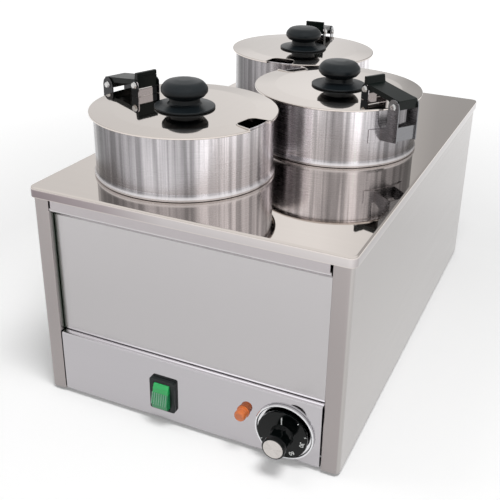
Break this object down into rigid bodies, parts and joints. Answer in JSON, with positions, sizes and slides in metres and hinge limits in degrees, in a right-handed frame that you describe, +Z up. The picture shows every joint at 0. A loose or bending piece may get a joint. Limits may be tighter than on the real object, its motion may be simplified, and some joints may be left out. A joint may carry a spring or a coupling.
{
  "type": "triple well warmer",
  "caption": "Countertop food warmer: steel case with a heated water well, round inset pots with notched hinged lids, knobs and lift handles, rotary thermostat, rocker switch and pilot lamp.",
  "frame": {"origin": "on the surface the warmer stands on, under the middle of its whole outline", "axes": "+Z up, +X to the right of someone facing the controls, -Y towards them"},
  "size_m": [0.3586, 0.6068, 0.3501],
  "materials": {
    "mirror_steel": "mirror polished",
    "satin_steel": "satin",
    "brushed_steel": "brushed",
    "galvanized_steel": "zinc coated, dull",
    "chrome": "polished",
    "screw_steel": "bright",
    "black_plastic": "satin",
    "black_rubber": "matt",
    "green_lens": "glossy, translucent",
    "amber_lens": "glossy, translucent",
    "element_sheath": "oxidised",
    "copper": "drawn",
    "grey_moulding": "matt"
  },
  "bodies": {
    "case": {"top_plate": "mirror_steel", "left_side_panel": "satin_steel", "right_side_panel": "satin_steel", "front_panel": "satin_steel", "control_panel": "satin_steel", "rear_panel": "satin_steel", "base_plate": "galvanized_steel", "front_left_foot": "black_rubber", "front_left_foot_screw": "screw_steel", "front_right_foot": "black_rubber", "front_right_foot_screw": "screw_steel", "rear_left_foot": "black_rubber", "rear_left_foot_screw": "screw_steel", "rear_right_foot": "black_rubber", "rear_right_foot_screw": "screw_steel", "water_tank": "satin_steel", "heating_element": "element_sheath", "element_bar_1": "galvanized_steel", "element_bar_2": "galvanized_steel", "element_bar_3": "galvanized_steel", "thermostat_body": "grey_moulding", "knob_bezel": "chrome", "switch_housing": "black_plastic", "pilot_lamp_lens": "amber_lens", "pilot_lamp_body": "grey_moulding", "thermostat_bulb": "copper", "cable_gland": "black_plastic", "terminal_block": "grey_moulding"},
    "control_knob": {"thermostat_shaft": "screw_steel", "thermostat_knob": "black_plastic", "knob_cap": "brushed_steel"},
    "power_rocker": {"switch_rocker": "green_lens"},
    "front_pot_unit": {"front_pot": "brushed_steel", "front_hinge_bracket": "satin_steel"},
    "front_lid_unit": {"front_lid": "mirror_steel", "front_lid_knob": "black_plastic", "front_lid_knob_screw": "screw_steel", "front_lid_bracket": "satin_steel", "front_grip": "black_plastic", "front_grip_bolt": "screw_steel", "front_pivot_bolt": "screw_steel"},
    "middle_pot_unit": {"middle_pot": "brushed_steel", "middle_hinge_bracket": "satin_steel"},
    "middle_lid_unit": {"middle_lid": "mirror_steel", "middle_lid_knob": "black_plastic", "middle_lid_knob_screw": "screw_steel", "middle_lid_bracket": "satin_steel", "middle_grip": "black_plastic", "middle_grip_bolt": "screw_steel", "middle_pivot_bolt": "screw_steel"},
    "rear_pot_unit": {"rear_pot": "brushed_steel", "rear_hinge_bracket": "satin_steel"},
    "rear_lid_unit": {"rear_lid": "mirror_steel", "rear_lid_knob": "black_plastic", "rear_lid_knob_screw": "screw_steel", "rear_lid_bracket": "satin_steel", "rear_grip": "black_plastic", "rear_grip_bolt": "screw_steel", "rear_pivot_bolt": "screw_steel"}
  },
  "joints": [
    {"name": "thermostat_turn", "type": "hinge", "parent": "case", "child": "control_knob", "pos_m": [0.11722, -0.27303, 0.0385], "axis": [0, 1, 0], "range_deg": [0, 300]},
    {"name": "switch_rock", "type": "hinge", "parent": "case", "child": "power_rocker", "pos_m": [-0.02338, -0.27253, 0.0377], "axis": [1, 0, 0], "range_deg": [0, 22]},
    {"name": "front_pot_lift", "type": "slide", "parent": "case", "child": "front_pot_unit", "axis": [0, 0, 1], "range_m": [0, 0.22]},
    {"name": "front_lid_hinge", "type": "hinge", "parent": "front_pot_unit", "child": "front_lid_unit", "pos_m": [-0.16653, -0.11964, 0.3236], "axis": [-0.3123, -0.95, 0], "range_deg": [0, 95]},
    {"name": "middle_pot_lift", "type": "slide", "parent": "case", "child": "middle_pot_unit", "axis": [0, 0, 1], "range_m": [0, 0.22]},
    {"name": "middle_lid_hinge", "type": "hinge", "parent": "middle_pot_unit", "child": "middle_lid_unit", "pos_m": [0.15117, -0.046, 0.3236], "axis": [0.5225, 0.8526, 0], "range_deg": [0, 95]},
    {"name": "rear_pot_lift", "type": "slide", "parent": "case", "child": "rear_pot_unit", "axis": [0, 0, 1], "range_m": [0, 0.22]},
    {"name": "rear_lid_hinge", "type": "hinge", "parent": "rear_pot_unit", "child": "rear_lid_unit", "pos_m": [-0.07158, 0.29332, 0.3236], "axis": [-0.994, -0.1097, 0], "range_deg": [0, 95]}
  ]
}
